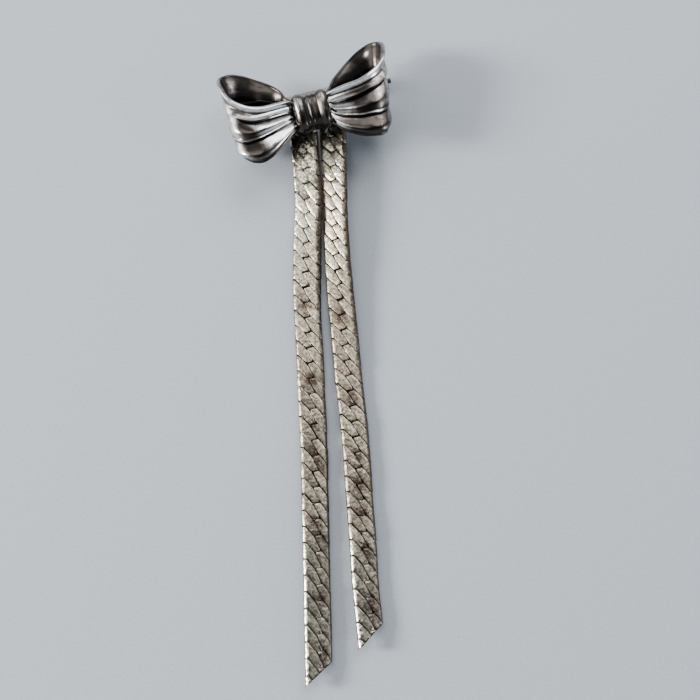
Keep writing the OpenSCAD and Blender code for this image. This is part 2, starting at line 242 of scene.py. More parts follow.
def satinChainSilver():
    m = chainFinish
    material, tree, shader, place = startFinish("satin_sterling_chain", 1)
    grimeAndShade, stainAndShade, filmAndShade = (addNode(tree, "ShaderNodeAttribute", {}, attribute_name=name).outputs["Fac"]
                          for name in wearLayers)
    mottle = addNode(tree, "ShaderNodeTexNoise", {"Vector": place,
                     "Scale": perGrain(m["mottleSize"]), "Detail": 6, "Roughness": 0.7})
    scuff = addNode(tree, "ShaderNodeTexNoise",
                    {"Vector": place, "Scale": perGrain(m["scuffSize"]), "Detail": 3})
    spread = addNode(tree, "ShaderNodeMapRange", {"Value": mottle.outputs["Fac"],
                     "From Min": m["mottleSpan"][0], "From Max": m["mottleSpan"][1]})
    bare = addNode(tree, "ShaderNodeMix", {0: spread.outputs["Result"],
                   6: hexColour(m["worn"]), 7: hexColour(m["satin"])}, data_type="RGBA")
    filmed = addNode(tree, "ShaderNodeMix", {0: spread.outputs["Result"],
                     6: hexColour(m["filmDark"]), 7: hexColour(m["filmLight"])}, data_type="RGBA")
    surface = addNode(tree, "ShaderNodeMix", {0: filmAndShade, 6: bare.outputs[2],
                      7: filmed.outputs[2]}, data_type="RGBA")
    # The patches break up along the mottle's own grain
    patch = addNode(tree, "ShaderNodeMath", {0: mottle.outputs["Fac"], 1: -2, 2: 2},
                    operation="MULTIPLY_ADD")
    ragged = addNode(tree, "ShaderNodeMath", {0: stainAndShade, 1: patch.outputs[0]}, operation="MULTIPLY")
    stained = addNode(tree, "ShaderNodeMapRange", {"Value": ragged.outputs[0], "From Min":
                      m["stainSpan"][0], "From Max": m["stainSpan"][1], "To Max": m["stainMost"]})
    browned = addNode(tree, "ShaderNodeMix", {0: stained.outputs["Result"],
                      6: surface.outputs[2], 7: hexColour(m["tarnishAndShade"])}, data_type="RGBA")
    colour = addNode(tree, "ShaderNodeMix", {0: grimeAndShade, 6: browned.outputs[2],
                     7: hexColour(m["grimeAndShade"])}, data_type="RGBA")
    rough = addNode(tree, "ShaderNodeMapRange", {"Value": filmAndShade,
                    "To Min": m["rough"], "To Max": m["roughFilm"]})
    dent = addNode(tree, "ShaderNodeTexNoise",
                   {"Vector": place, "Scale": perGrain(m["dentSize"]), "Detail": 1})
    dented = addNode(tree, "ShaderNodeBump", {"Height": dent.outputs["Fac"], "Strength": 1,
                     "Distance": m["dentDepth"] * mm})
    bump = addNode(tree, "ShaderNodeBump", {"Height": scuff.outputs["Fac"], "Strength": 1,
                   "Distance": m["scuffDepth"] * mm, "Normal": dented.outputs["Normal"]})
    tree.links.new(colour.outputs[2], shader.inputs["Base Color"])
    tree.links.new(rough.outputs["Result"], shader.inputs["Roughness"])
    tree.links.new(bump.outputs["Normal"], shader.inputs["Normal"])
    return material


# Nickel silver wire and strip for the pin: drawn, dull and grey, browned a little
pinFinish = {
    "bar": "#B4B3A8",
    "stem": "#4A4541",
    "rough": 0.38,
    "cloudSize": 1.5,
    "cloudShare": 1.8,
    "barLevel": (1.7, 2.1),
}


def dullNickelSilver():
    m = pinFinish
    material, tree, shader, place = startFinish("dull_nickel_silver", 1)
    shader.inputs["Roughness"].default_value = m["rough"]
    height = addNode(tree, "ShaderNodeSeparateXYZ", {"Vector": place}).outputs["Z"]
    level = addNode(tree, "ShaderNodeMapRange", {"Value": height, "From Min": m["barLevel"][0] * mm,
                    "From Max": m["barLevel"][1] * mm})
    cloud = addNode(tree, "ShaderNodeTexNoise",
                    {"Vector": place, "Scale": perGrain(m["cloudSize"]), "Detail": 4})
    worn = addNode(tree, "ShaderNodeMath", {0: level.outputs["Result"], 1: cloud.outputs["Fac"]},
                   operation="MULTIPLY")
    rubbedAndLit = addNode(tree, "ShaderNodeMath", {0: worn.outputs[0], 1: m["cloudShare"]},
                     operation="MULTIPLY", use_clamp=True)
    colour = addNode(tree, "ShaderNodeMix", {0: rubbedAndLit.outputs[0], 6: hexColour(m["stem"]),
                     7: hexColour(m["bar"])}, data_type="RGBA")
    tree.links.new(colour.outputs[2], shader.inputs["Base Color"])
    return material


bowSilver = blackenedSilver()
chainSilver = satinChainSilver()
pinMetal = dullNickelSilver()
print("metals mixed")

# The ribbon: one bent sheet a side. Its sections run from inside the knot along the
# front, round the outer turn and back behind. Columns: reach, depth from the back,
# lower edge, upper edge, lower valley, upper valley, pleat height, as shares
ribbon = {
    "reach": 13.3,
    "height": 12,
    "depth": 5.97,
    "sheet": 0.55,
    "pleat": 0.63,
    "middleShare": 0.63,  # where the knot's middle lies in the depth
    "flare": {-1: 0.03, 1: 0.18},  # how much wider each loop is at its top
    "ringsPerSection": 6,
    "slopeStep": 0.05,
    "pointsPerPleat": 21,
    "innerPoints": 60,
    "edgePoints": 5,
    "frontDepth": 0.4,  # nearer the front than this share the dark patches show: tarnish and painted dark reflection
    "nearKnot": 0.35,  # share of the folds' tarnish that is left beside the knot
    "edgeTarnish": 0.6,
    # the back sheet's lower edge: tarnish plus painted shade
    "backEdgeTarnishAndShade": 1.5,
    "innerRelief": 0.7,  # share of the pleats that shows inside
    "innerTarnish": 1.25,
    "ridgeTarnish": 0.2,
    "cloudTarnish": 0.7,
    "cloudGrain": (3, 24),
    # painted shade, deepest low down inside the loop
    "lowDarkening": 1.4,
    "lowSpan": (0.74, 0.64),
}
leftSections = [
    (0.060, 0.79, -0.15, 0.15, 0.3, 0.63, 0.10),
    (0.226, 0.8, -0.185, 0.185, 0.3, 0.63, 0.30),
    (0.295, 0.84, -0.235, 0.2, 0.32, 0.63, 0.70),
    (0.400, 0.9, -0.325, 0.19, 0.38, 0.685, 1.00),
    (0.560, 0.97, -0.45, 0.18, 0.41, 0.735, 1.00),
    (0.700, 0.99, -0.51, 0.215, 0.385, 0.725, 1.00),
    (0.815, 0.94, -0.49, 0.305, 0.31, 0.71, 1.00),
    (0.902, 0.85, -0.42, 0.425, 0.26, 0.69, 0.90),
    (0.948, 0.70, -0.34, 0.59, 0.22, 0.64, 0.70),
    (0.957, 0.48, -0.29, 0.69, 0.2, 0.62, 0.60),
    (0.940, 0.24, -0.26, 0.765, 0.22, 0.6, 0.50),
    (0.887, 0.08, -0.25, 0.8, 0.25, 0.6, 0.40),
    (0.795, 0.01, -0.25, 0.81, 0.3, 0.6, 0.40),
    (0.670, 0.0, -0.25, 0.76, 0.3, 0.62, 0.40),
    (0.530, 0.03, -0.24, 0.66, 0.33, 0.66, 0.40),
    (0.390, 0.13, -0.22, 0.54, 0.33, 0.66, 0.35),
    (0.295, 0.26, -0.18, 0.42, 0.33, 0.66, 0.20),
    (0.235, 0.38, -0.14, 0.27, 0.33, 0.66, 0.10),
    (0.060, 0.46, -0.09, 0.15, 0.33, 0.66, 0.10),
]
rightSections = [
    (0.060, 0.79, -0.15, 0.15, 0.3, 0.63, 0.10),
    (0.178, 0.8, -0.2, 0.185, 0.31, 0.65, 0.30),
    (0.235, 0.825, -0.295, 0.195, 0.33, 0.67, 0.60),
    (0.310, 0.86, -0.37, 0.205, 0.34, 0.69, 0.90),
    (0.405, 0.905, -0.435, 0.215, 0.34, 0.705, 1.00),
    (0.540, 0.97, -0.5, 0.225, 0.335, 0.735, 1.00),
    (0.660, 0.99, -0.525, 0.27, 0.325, 0.745, 1.00),
    (0.760, 0.94, -0.53, 0.345, 0.295, 0.725, 1.00),
    (0.834, 0.85, -0.49, 0.46, 0.265, 0.7, 0.90),
    (0.864, 0.70, -0.41, 0.59, 0.24, 0.66, 0.70),
    (0.872, 0.48, -0.36, 0.67, 0.22, 0.63, 0.60),
    (0.857, 0.24, -0.32, 0.73, 0.22, 0.6, 0.50),
    (0.803, 0.08, -0.3, 0.765, 0.25, 0.6, 0.40),
    (0.725, 0.01, -0.29, 0.765, 0.3, 0.6, 0.40),
    (0.612, 0.0, -0.28, 0.71, 0.3, 0.62, 0.40),
    (0.485, 0.03, -0.26, 0.605, 0.33, 0.66, 0.40),
    (0.370, 0.13, -0.22, 0.49, 0.33, 0.66, 0.35),
    (0.275, 0.26, -0.18, 0.385, 0.33, 0.66, 0.20),
    (0.205, 0.38, -0.14, 0.27, 0.33, 0.66, 0.10),
    (0.060, 0.46, -0.09, 0.15, 0.33, 0.66, 0.10),
]
# The three pleats from the lowest up: place between valleys, rise of the sheet, tarnish
pleatShapes = [
    [(0.00, -0.10, 0.7), (0.06, 0.45, 0.2), (0.15, 0.80, 0), (0.30, 1.00, 0), (0.50, 0.85, 0),
     (0.75, 0.45, 0), (0.93, 0.10, 0.1), (1.00, -0.05, 0.8)],
    [(0.00, -0.12, 1), (0.02, 0.20, 0.6), (0.07, 0.62, 0), (0.11, 0.60, 0.05), (0.15, 0.52, 0.3),
     (0.22, 0.62, 0.05), (0.35, 0.90, 0), (0.45, 1.00, 0), (0.60, 0.82, 0), (0.80, 0.40, 0),
     (0.94, 0.08, 0.1), (1.00, -0.05, 0.8)],
    [(0.00, -0.12, 1), (0.02, 0.25, 0.6), (0.08, 0.85, 0), (0.14, 0.80, 0), (0.25, 0.55, 0.05),
     (0.45, 0.22, 0.15), (0.60, 0.15, 0.1), (0.75, 0.30, 0), (0.88, 0.62, 0), (0.95, 0.80, 0),
     (1.00, 0.75, 0)],
]
# Dark patches on the front of each loop, partly tarnish and partly painted dark reflection:
# reach, place from the lower edge up, the size of each way, strength
leftTarnishAndDarkReflections = [
    (0.86, 0.87, 0.13, 0.06, 0.8), (0.80, 0.55, 0.09, 0.15, 1.3), (0.75, 0.20, 0.13, 0.17, 1.3),
    (0.45, 0.02, 0.30, 0.05, 0.3),
]
rightTarnishAndDarkReflections = [
    (0.56, 0.86, 0.15, 0.07, 1.2), (0.60, 0.52, 0.12, 0.13, 1.6), (0.56, 0.69, 0.14, 0.08, 1.2),
    (0.57, 0.15, 0.20, 0.17, 1.5), (0.30, 0.50, 0.10, 0.10, 0.3), (0.80, 0.50, 0.035, 0.5, 0.6),
    (0.36, 0.22, 0.12, 0.08, 0.6), (0.87, 0.45, 0.03, 0.60, 0.3), (0.55, 0.02, 0.30, 0.06, 0.4),
]
# A rubbed bright spot inside each loop
innerShine = {-1: (0.82, 0.84, 0.10, 0.08, 1.0), 1: (0.70, 0.90, 0.045, 0.05, 1.4)}


def nearSpot(reach, at, spot):
    x, y, width, height, amount = spot
    return amount * math.exp(-((reach - x) / width) ** 2 - ((at - y) / height) ** 2)


def insideTarnishAndShade(reach, depth, at, rise, side):
    # Black all over from oxide, cloudy, blackest low down where painted shade is added, and rubbed at
    # one spot
    r = ribbon
    cloud = noise.noise(Vector((reach * r["cloudGrain"][0], depth, at * r["cloudGrain"][1])))
    return (r["innerTarnish"] + r["ridgeTarnish"] * rise / r["pleat"] + r["cloudTarnish"] * cloud
            + r["lowDarkening"] * ramp(at, r["lowSpan"]) - nearSpot(reach, at, innerShine[side]))


def ribbonSide(row, slope, sheetSide, side, tarnishAndDarkReflectionPatches):
    # Points of one face of the sheet in one section, from its lower edge to its upper
    r = ribbon
    reach, depth, low, high, lowerValley, upperValley, pleat = row
    stops = (0, lowerValley, upperValley, 1)
    points = []
    for k, shape in enumerate(pleatShapes):
        for place in evenly(r["pointsPerPleat"], 0, len(shape) - 1)[:None if k == 2 else -1]:
            at, rise, tarnishAndShade = splineAt(shape, place)
            at = mixed(stops[k], stops[k + 1], at)
            tarnishAndShade *= min(1, r["nearKnot"] + reach)
            if depth > r["frontDepth"]:
                # The front's dark patches: partly tarnish, partly painted dark reflection
                tarnishAndShade = min(1, tarnishAndShade + sum(nearSpot(reach, at, spot) for spot in tarnishAndDarkReflectionPatches))
            points.append((at, rise * pleat * r["pleat"], tarnishAndShade))
    if sheetSide == "inner":
        keep = [points[round(i)] for i in evenly(r["innerPoints"], 0, len(points) - 1)]
        points = [(at, rise * r["innerRelief"] - r["sheet"],
                   insideTarnishAndShade(reach, depth, at, rise, side)) for at, rise, tarnishAndShade in keep]
    margin = r["sheet"] / 2 / ((high - low) * r["height"])
    placed = []
    for at, rise, tarnishAndShade in points:
        height = mixed(low, high, mixed(margin, 1 - margin, at))
        flat = Vector((reach * r["reach"], (depth - r["middleShare"]) * r["depth"])) + slope * rise
        widened = side * flat.x * (1 + r["flare"][side] * height)
        placed.append((bowPoint(widened, height * r["height"], flat.y), tarnishAndShade))
    return placed


def roundedEdge(a, b, bulge, count, dark):
    # Half round from one face of the sheet to the other, bulging past its edge
    middle, half = (a[0] + b[0]) / 2, (a[0] - b[0]) / 2
    turns = [math.pi * i / (count + 1) for i in range(1, count + 1)]
    return [(middle + half * math.cos(t) + bulge * half.length * math.sin(t),
             mixed(a[1], b[1], t / math.pi) * dark) for t in turns]


def makeLoop(name, sections, tarnishAndDarkReflectionPatches, side, node):
    r = ribbon
    bm = bmesh.new()
    layer = bm.verts.layers.float.new("tarnishAndShade")
    last = len(sections) - 1
    rings = []
    for place in evenly(last * r["ringsPerSection"] + 1, 0, last):
        row = splineAt(sections, place)
        before = splineAt(sections, max(place - r["slopeStep"], 0))
        after = splineAt(sections, min(place + r["slopeStep"], last))
        run = Vector(((after[0] - before[0]) * r["reach"], (after[1] - before[1]) * r["depth"]))
        run.normalize()
        slope = Vector((-run.y, run.x))
        outer = ribbonSide(row, slope, "outer", side, tarnishAndDarkReflectionPatches)
        inner = ribbonSide(row, slope, "inner", side, tarnishAndDarkReflectionPatches)
        # The back sheet's lower edge gets painted shade on top of its tarnish
        lowEdge = r["edgeTarnish"] if row[1] > 0.5 else r["backEdgeTarnishAndShade"]
        top = roundedEdge(outer[-1], inner[-1], across, r["edgePoints"], r["edgeTarnish"])
        bottom = roundedEdge(inner[0], outer[0], -across, r["edgePoints"], lowEdge)
        rings.append(outer + top + inner[::-1] + bottom)
    rows = sweepRings(bm, [[p[0] for p in ring] for ring in rings], False)
    for row, ring in zip(rows, rings):
        for vert, point in zip(row, ring):
            vert[layer] = point[1]
    return finishPiece(bm, name, [bowSilver], node)


makeLoop("left_ribbon_loop", leftSections, leftTarnishAndDarkReflections, -1, "bow_loop_left")
makeLoop("right_ribbon_loop", rightSections, rightTarnishAndDarkReflections, 1, "bow_loop_right")

# Tails: flat curb chain. Routes run from behind the knot down each tail. Columns:
# across and along from the knot's middle, height above lying flat, roll in degrees
tails = {
    "width": 4.2,
    "pitch": 2.35,
    "thick": 1.1,
    "leftCount": 34,
    "rightCount": 32,
    "leftFlare": 0.36,  # how far the left tail's right side slopes out at its foot
    "tipHalf": 0.5,
    "tipShort": 1.149,  # the slanting cut's higher end, past the last link's middle
    "rollHalf": 1.5,
    "routeSteps": 12,
    "cutAngle": math.radians(41),
    "armDrop": 0.58,  # from the face down to the underside of a raised arm
    "edgeRound": 0.06,
    "sideCuts": (1.68, 1.9),  # the outer sides bend down from here
    "sideDrop": 0.35,
    "dome": 0.02,
    "domeInset": 0.25,
    "edgeGap": 0.001,
    "rimGrimeAndShade": 0.15,
    "seamStart": 0.015,
    "seamDepth": 0.1,
    "sideSeam": 0.2,
    "sway": math.radians(5),  # how far a loose link leans
    "leanGrain": 0.73,
    "flank": 0.3,  # the upper edge at the right is rubbed in by this much
    "flankSpan": (1.3, 1.9),
    "flareSpan": (32, 24),
    "floorGap": 0.01,
    "endLines": (0.09, 0.15, 0.3),  # lines of points beside the slanting cut
    "shadowLineEnd": 0.12,
    "highlightLineEnd": 0.25,
}
leftRoute = [
    (-1.8, -0.6, 1.8, -4), (-1.6, -4, 1.4, -8), (-1.2, -8, 0.9, -11), (-0.95, -13, 0.4, -12),
    (-1.1, -20, 0.1, -11), (-1, -28, 0, -8), (-0.5, -36, 0, -3), (-0.1, -44, 0, 3),
    (0.3, -51.5, 0, 8), (0.5, -59, 0, 12), (0.7, -66, 0, 15), (0.9, -73, 0, 18),
    (1.1, -80, 0, 20), (1.3, -88, 0, 21),
]
rightRoute = [
    (2.7, -0.2, 1.3, -8), (3, -4, 1, -18), (3.15, -9, 0.6, -27), (3.3, -15, 0.3, -28),
    (3.65, -22, 0.1, -22), (4.2, -28.5, 0, -14), (4.8, -34.5, 0, -7), (5.4, -41, 0, -1),
    (6.1, -47, 0, 4), (6.6, -53, 0, 8), (7, -59, 0, 12), (7.45, -65, 0, 15),
    (7.8, -71, 0, 18), (8.3, -76, 0, 19), (9.1, -84, 0, 20),
]


def lyingHeight(roll):
    tilt = math.radians(roll)
    t = tails
    return max(t["width"] / 2 * abs(math.sin(tilt)) + t["tipHalf"] * math.cos(tilt),
               t["rollHalf"] * abs(math.sin(tilt)) + t["thick"] / 2 * math.cos(tilt))


def tailFrames(route, count):
    # A matrix for each link: its middle, with X across, Y up the tail and Z out of its face
    t = tails
    last = len(route) - 1
    rows = [splineAt(route, place) for place in evenly(last * t["routeSteps"] + 1, 0, last)]
    line = [Vector((x, y, lyingHeight(roll) + lift, roll)) for x, y, lift, roll in rows]
    marks = [0]
    for a, b in zip(line, line[1:]):
        marks.append(marks[-1] + (b.xyz - a.xyz).length)

    def atLength(s):
        k = max(i for i in range(len(marks) - 1) if marks[i] <= max(s, 0))
        return line[k].lerp(line[k + 1], (max(s, 0) - marks[k]) / (marks[k + 1] - marks[k]))

    frames = []
    for i in range(count + 1):
        s = i * t["pitch"]
        here = atLength(s)
        up = (atLength(s - t["pitch"] / 2).xyz - atLength(s + t["pitch"] / 2).xyz).normalized()
        level = up.cross(Vector((0, 0, 1))).normalized()
        face = level.cross(up)
        tilt = math.radians(here.w)
        x = level * math.cos(tilt) - face * math.sin(tilt)
        z = face * math.cos(tilt) + level * math.sin(tilt)
        middle = here.xyz + Vector((brooch["knotPlace"].x, brooch["knotPlace"].y, 0))
        frames.append(Matrix(((x.x, up.x, z.x, middle.x), (x.y, up.y, z.y, middle.y),
                              (x.z, up.z, z.z, middle.z), (0, 0, 0, 1))))
    return frames


# Outline of a link's raised left arm in mm: where it meets its neighbours when rolled flat
armOutline = [
    (-2.10, 1.22), (-1.68, 1.04), (-1.10, 0.42), (-0.66, -0.08), (-0.50, -0.36), (-0.28, -0.68),
    (0.22, -1.72), (0.33, -2.06), (0.26, -2.22), (-0.10, -2.30), (-0.44, -2.36), (-0.62, -2.28),
    (-1.14, -1.70), (-1.66, -1.10), (-2.10, -0.93),
]


def addWearLayers(bm):
    for name in wearLayers:
        bm.verts.layers.float.new(name)


def getWearLayers(bm):
    return [bm.verts.layers.float[name] for name in wearLayers]


def wholeMesh(bm):
    return bm.verts[:] + bm.edges[:] + bm.faces[:]


def linkTemplate():
    # Four arms, two raised and two lowered, meet at the sides and at both ends in a ring
    t = tails
    bm = bmesh.new()
    addWearLayers(bm)
    grimeAndShade = bm.verts.layers.float["grimeAndShade"]
    half = t["thick"] / 2
    face = bm.faces.new([bm.verts.new((x, y, half)) for x, y in armOutline])
    wall = bmesh.ops.extrude_face_region(bm, geom=[face])["geom"]
    lower = [v for v in wall if isinstance(v, bmesh.types.BMVert)]
    bmesh.ops.translate(bm, vec=(0, 0, -t["armDrop"]), verts=lower)
    bm.normal_update()
    top = max(bm.faces, key=lambda f: f.calc_center_median().z)
    bmesh.ops.bevel(bm, geom=list(top.edges), offset=t["edgeRound"], offset_type="OFFSET",
                    segments=2, profile=0.5, affect="EDGES", material=-1, clamp_overlap=True)
    top = max(bm.faces, key=lambda f: (f.calc_center_median().z, f.calc_area()))
    bmesh.ops.inset_region(bm, faces=[top], thickness=t["domeInset"], depth=t["dome"],
                           use_even_offset=True)
    for x in t["sideCuts"]:
        bmesh.ops.bisect_plane(bm, geom=wholeMesh(bm), plane_co=(-x, 0, 0), plane_no=(1, 0, 0))
    # Grime and painted shade lie round the raised face and down in the seams, and the outer sides are
    # bent down
    sideStart = t["sideCuts"][0]
    for vert in bm.verts:
        below = half - vert.co.z
        besideFace = t["rimGrimeAndShade"] * (below > t["edgeGap"] - t["dome"])
        vert[grimeAndShade] = min(1, max(0, besideFace + (below - t["seamStart"]) / t["seamDepth"]))
        past = max(0, -vert.co.x - sideStart) / (t["width"] / 2 - sideStart)
        if past:
            vert[grimeAndShade] = min(vert[grimeAndShade], max(0, (below - t["sideSeam"]) / t["sideSeam"]))
        vert.co.z -= t["sideDrop"] * past * past * max(0, vert.co.z) / half
    for turn, axis in ((math.pi, "Z"), (math.pi, "Y")):
        copy = bmesh.ops.duplicate(bm, geom=wholeMesh(bm))["geom"]
        bmesh.ops.rotate(bm, cent=(0, 0, 0), matrix=Matrix.Rotation(turn, 3, axis),
                         verts=[v for v in copy if isinstance(v, bmesh.types.BMVert)])
    bmesh.ops.recalc_face_normals(bm, faces=bm.faces)
    mesh = bpy.data.meshes.new("link")
    bm.to_mesh(mesh)
    bm.free()
    return mesh


link = linkTemplate()


def addLinks(bm, frames, sway=0, flare=0):
    # Each link leans a little its own way, and its right side slopes out to the foot
    t = tails
    for place in frames:
        before = len(bm.verts)
        bm.from_mesh(link)
        bm.verts.ensure_lookup_table()
        spot = place.translation * t["leanGrain"]
        lean = (Matrix.Rotation(sway * 2 * noise.noise(spot), 4, "X")
                @ Matrix.Rotation(sway * 2 * noise.noise(spot + Vector((9, 0, 0))), 4, "Y"))
        flared = flare * ramp(brooch["knotPlace"].y - place.translation.y, t["flareSpan"])
        for vert in bm.verts[before:]:
            low = ramp(vert.co.z, (t["thick"] / 2, -t["thick"] / 2))
            vert.co.x += ramp(vert.co.x, t["flankSpan"]) * (flared * low - t["flank"] * (1 - low))
        bmesh.ops.transform(bm, matrix=place @ lean, verts=bm.verts[before:])
    for vert in bm.verts:
        vert.co.z = max(vert.co.z, t["floorGap"])


# Brown patches along each tail, stains except the first two, just under the knot, which are painted
# shadow of the bow: distance from the knot's middle, place across as a share of half the width,
# length, width, strength. Lengths in mm
leftStainsAndShadow = [
    (2, -0.5, 1.5, 1.2, 0.6), (4.2, -0.9, 1, 0.6, 0.5), (16, -0.3, 0.9, 0.7, 0.5),
    (29.4, -0.2, 1.2, 0.9, 1.3), (40.6, 0, 1.2, 0.9, 1.3), (47.5, 0, 1, 0.8, 0.9),
    (51.4, -0.1, 1.3, 0.8, 1.2), (53.4, 0.35, 1, 0.8, 1.2), (62.4, -0.2, 1.3, 0.8, 1.3),
    (64.6, 0.35, 1.1, 0.8, 1.2), (73, 0.1, 1.3, 0.9, 1), (81, 0.2, 1.6, 1, 0.9),
]
# The first two, under the knot, are painted shadow of the bow; the rest are stains
rightStainsAndShadow = [
    (1.8, -0.2, 1.2, 1.8, 0.7), (4.5, -0.9, 2.5, 0.5, 0.7), (13, 0, 0.8, 0.6, 0.6),
    (31, -0.2, 1.2, 0.9, 1.2), (43.5, 0, 1.2, 0.9, 1.2), (52.5, 0, 1, 0.8, 1),
    (56.5, 0, 1.4, 0.8, 1.3), (60.5, 0.1, 1.1, 0.8, 1.1), (66, 0, 1.2, 0.8, 1.1),
    (74, 0.2, 1.8, 1, 0.9),
]
# Down each tail in mm: where the satin dulls, and how brown it is all over further down
leftWear = {"dulls": (4, 32), "brown": 0}
rightWear = {"dulls": (-4, 20), "brown": 0.22}
# Both tails alike. A span is where something starts and is full: Across as a share of half
# the width from the left side, -1, to the right, 1, and Down in mm from the knot's middle
wearSpans = {
    "rubbedLitAcross": (-0.75, -0.85),  # clean left edge near the tip: partly wear, partly painted highlight from the left light
    "rubbedLitDown": (60, 68),
    "shadedSideAcross": (0.7, 0.82),  # painted shade on the right side: dulled, then darker further down
    "sideShade": 0.85,
    "sideShadeDown": (40, 55),
    "shade": 0.9,  # painted shade, brown, along the right side
    "shadeAcross": (0.74, 0.86),
    "shadeDown": (3, 9),
    "newFilm": 0.1,  # dull film, from the top of a tail to its foot
    "oldFilm": 0.95,
    "filmWornOff": 0.3,
    "filmWornDown": (60, 75),
    "grimeWornOff": 0.5,
    "grimeWornDown": (66, 76),
    "leftEdge": 0.85,  # brown specks along the left edge
    "leftEdgeStain": 6,
    "leftEdgeGrain": 0.7,
    "leftEdgeBase": 0.6,
    "brownDown": (12, 27),
}


def stainAndShadeTail(bm, stainsAndShadow, wear, frames):
    # Besides its patches, partly painted shadow, a tail darkens evenly toward its tip and gets
    # painted shade on its right side
    grimeAndShade, stainAndShade, filmAndShade = getWearLayers(bm)
    w = wearSpans
    half = tails["width"] / 2
    for vert in bm.verts:
        down = brooch["knotPlace"].y - vert.co.y
        near = frames[min(len(frames) - 1, max(0, round(down / tails["pitch"])))]
        side = (vert.co - near.translation).dot(near.col[0].xyz) / half
        # The left edge near the tip is kept clean: partly wear, partly painted highlight
        rubbedAndLit = ramp(side, w["rubbedLitAcross"]) * ramp(down, w["rubbedLitDown"])
        # The right side is dulled and darkened as painted shade
        shadedRightSide = ramp(side, w["shadedSideAcross"])
        dulled = max(shadedRightSide, mixed(w["newFilm"], w["oldFilm"], ramp(down, wear["dulls"])))
        vert[filmAndShade] = (dulled - w["filmWornOff"] * ramp(down, w["filmWornDown"])) * (1 - rubbedAndLit)
        vert[grimeAndShade] *= 1 - w["grimeWornOff"] * ramp(down, w["grimeWornDown"])
        vert[grimeAndShade] = max(vert[grimeAndShade], w["sideShade"] * shadedRightSide * ramp(down, w["sideShadeDown"]))
        cloud = max(0, noise.noise(vert.co * w["leftEdgeGrain"]) + w["leftEdgeBase"])
        brown = (w["shade"] * ramp(side, w["shadeAcross"]) * ramp(down, w["shadeDown"])
                 + w["leftEdgeStain"] * max(0, -side - w["leftEdge"]) * cloud
                 + wear["brown"] * ramp(down, w["brownDown"]))
        for at, x, length, width, strength in stainsAndShadow:
            spread = ((down - at) / length) ** 2 + ((side - x) * half / width) ** 2
            brown += strength * math.exp(-spread)
        vert[stainAndShade] = (1 - rubbedAndLit) * min(1, brown)


def makeTail(name, frames, stainsAndShadow, wear, flare, node):
    bm = bmesh.new()
    addWearLayers(bm)
    addLinks(bm, frames[1:-1], tails["sway"], flare)
    stainAndShadeTail(bm, stainsAndShadow, wear, frames)
    return finishPiece(bm, name, [chainSilver], node)


def makeTip(name, frames, stainsAndShadow, wear, node):
    # The last links are cut off on the slant and the cut is closed with solder
    t = tails
    bm = bmesh.new()
    addWearLayers(bm)
    end = frames[-1]
    addLinks(bm, [end @ Matrix.Translation((0, -k * t["pitch"], 0)) for k in range(4)])
    slant = Vector((math.sin(t["cutAngle"]), -math.cos(t["cutAngle"]), 0))
    cutPoint = end @ Vector((t["width"] / 2, -t["tipShort"], 0))
    cutOut = (end.to_3x3() @ slant).normalized()
    bmesh.ops.bisect_plane(bm, geom=wholeMesh(bm), plane_co=cutPoint, plane_no=cutOut,
                           clear_outer=True)
    bmesh.ops.holes_fill(bm, edges=[e for e in bm.edges if e.is_boundary], sides=0)
    for inside in t["endLines"]:
        bmesh.ops.bisect_plane(bm, geom=wholeMesh(bm), plane_co=cutPoint - cutOut * inside,
                               plane_no=cutOut)
    stainAndShadeTail(bm, stainsAndShadow, wear, frames)
    # A painted shadow line along the cut, and just inside it a painted highlight line
    grimeAndShade, stainAndShade, filmAndShade = getWearLayers(bm)
    for vert in bm.verts:
        inside = (cutPoint - vert.co).dot(cutOut)
        if inside < t["highlightLineEnd"]:
            vert[grimeAndShade] = vert[stainAndShade] = 1 if inside < t["shadowLineEnd"] else 0
            vert[filmAndShade] = 0
    return finishPiece(bm, name, [chainSilver], node)


leftFrames = tailFrames(leftRoute, tails["leftCount"])
rightFrames = tailFrames(rightRoute, tails["rightCount"])
makeTail("left_chain_tail", leftFrames, leftStainsAndShadow, leftWear, tails["leftFlare"], "tail_chain_left")
makeTail("right_chain_tail", rightFrames, rightStainsAndShadow, rightWear, 0, "tail_chain_right")
makeTip("left_tail_tip", leftFrames, leftStainsAndShadow, leftWear, "tail_tip_left")
makeTip("right_tail_tip", rightFrames, rightStainsAndShadow, rightWear, "tail_tip_right")

# The knot: a fluted band closed round the ribbon, with the top link of each tail behind
knotBand = {
    "width": 5.4,
    "side": -0.33,
    "height": 5.3,
    "depth": 4.6,
    "wall": 0.7,
    "flute": 0.5,
    "fluteBack": 0.15,  # share of the flutes' height at the back
    "fluteFront": 0.7,
    "square": 0.62,  # 1 is an ellipse, less is squarer
    # how much darker the band gets toward its bottom
    "lowDarkening": 0.45,
    "lowSpan": (0.4, -0.6),
    "solder": 0.7,
    "solderBase": 0.3,
    "solderAcross": 0.43,
    "solderAlong": 0.478,
    "turns": 84,
    "acrossPoints": 61,
    "innerPoints": 16,
}
# Flutes from the left side to the right: place across, rise, tarnish
flutes = [
    (-1, -0.5, 1), (-0.93, 0.15, 0.7), (-0.76, 0.85, 0.5), (-0.60, 0.85, 0.6), (-0.46, 0.6, 0.55),
    (-0.36, 0.1, 0.9), (-0.22, -0.35, 1), (-0.08, 0.05, 0.85), (0.06, -0.2, 1), (0.20, 0.08, 0.9),
    (0.34, -0.1, 1), (0.48, 0.35, 0.8), (0.68, 0.9, 0.45), (0.84, 0.6, 0.6), (0.94, 0.1, 0.8),
    (1, -0.5, 1),
]


